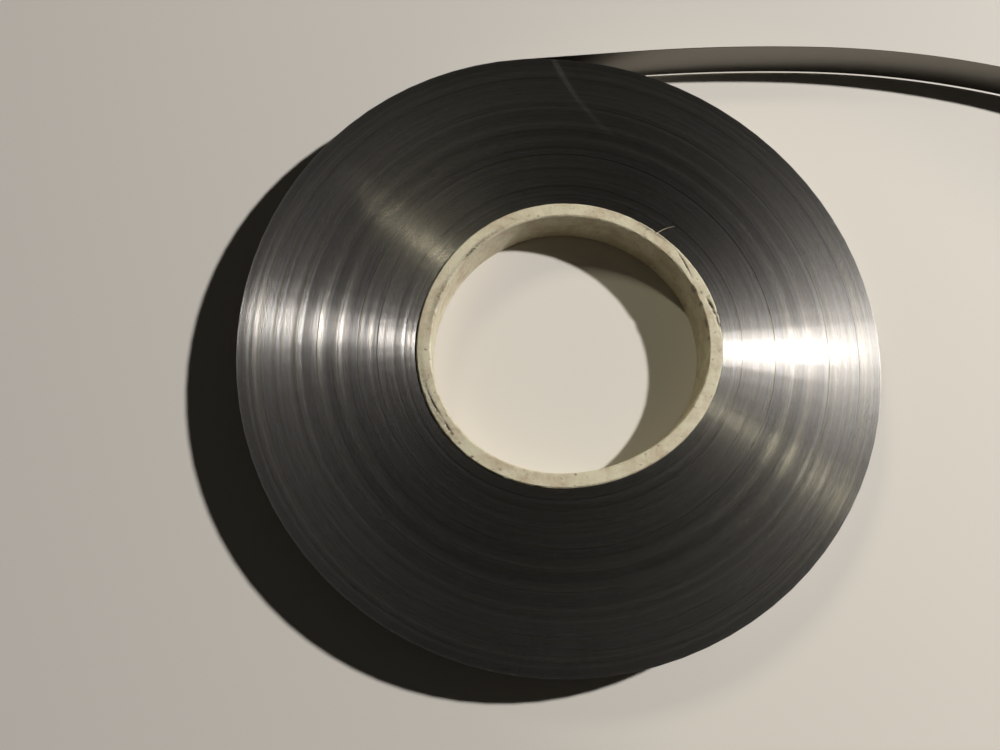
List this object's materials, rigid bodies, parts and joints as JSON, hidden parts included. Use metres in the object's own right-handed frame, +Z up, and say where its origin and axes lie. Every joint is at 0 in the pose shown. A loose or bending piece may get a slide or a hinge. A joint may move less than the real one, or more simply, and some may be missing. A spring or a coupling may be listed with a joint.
{
  "type": "coil of spring steel strip",
  "caption": "Flat coil of thin spring steel strip wound on a sawn plastic pipe ring, with the strip's outer end springing free as a tail on edge.",
  "frame": {"origin": "on the bore's axis at the core ring's lower end, which is the face the coil lies on", "axes": "+Z up along the bore's axis, +X the way the tail points as it leaves the coil"},
  "size_m": [0.3405, 0.2503, 0.0175],
  "materials": {
    "spring_steel": "cold-rolled strip seen on its sheared edges, satin with rings of brighter and darker turns",
    "pipe_plastic": "off-white pressure pipe, saw marks on the ends and a little dirt"
  },
  "bodies": {
    "root": {"strip_coil": "spring_steel", "core_ring": "pipe_plastic"}
  },
  "joints": []
}
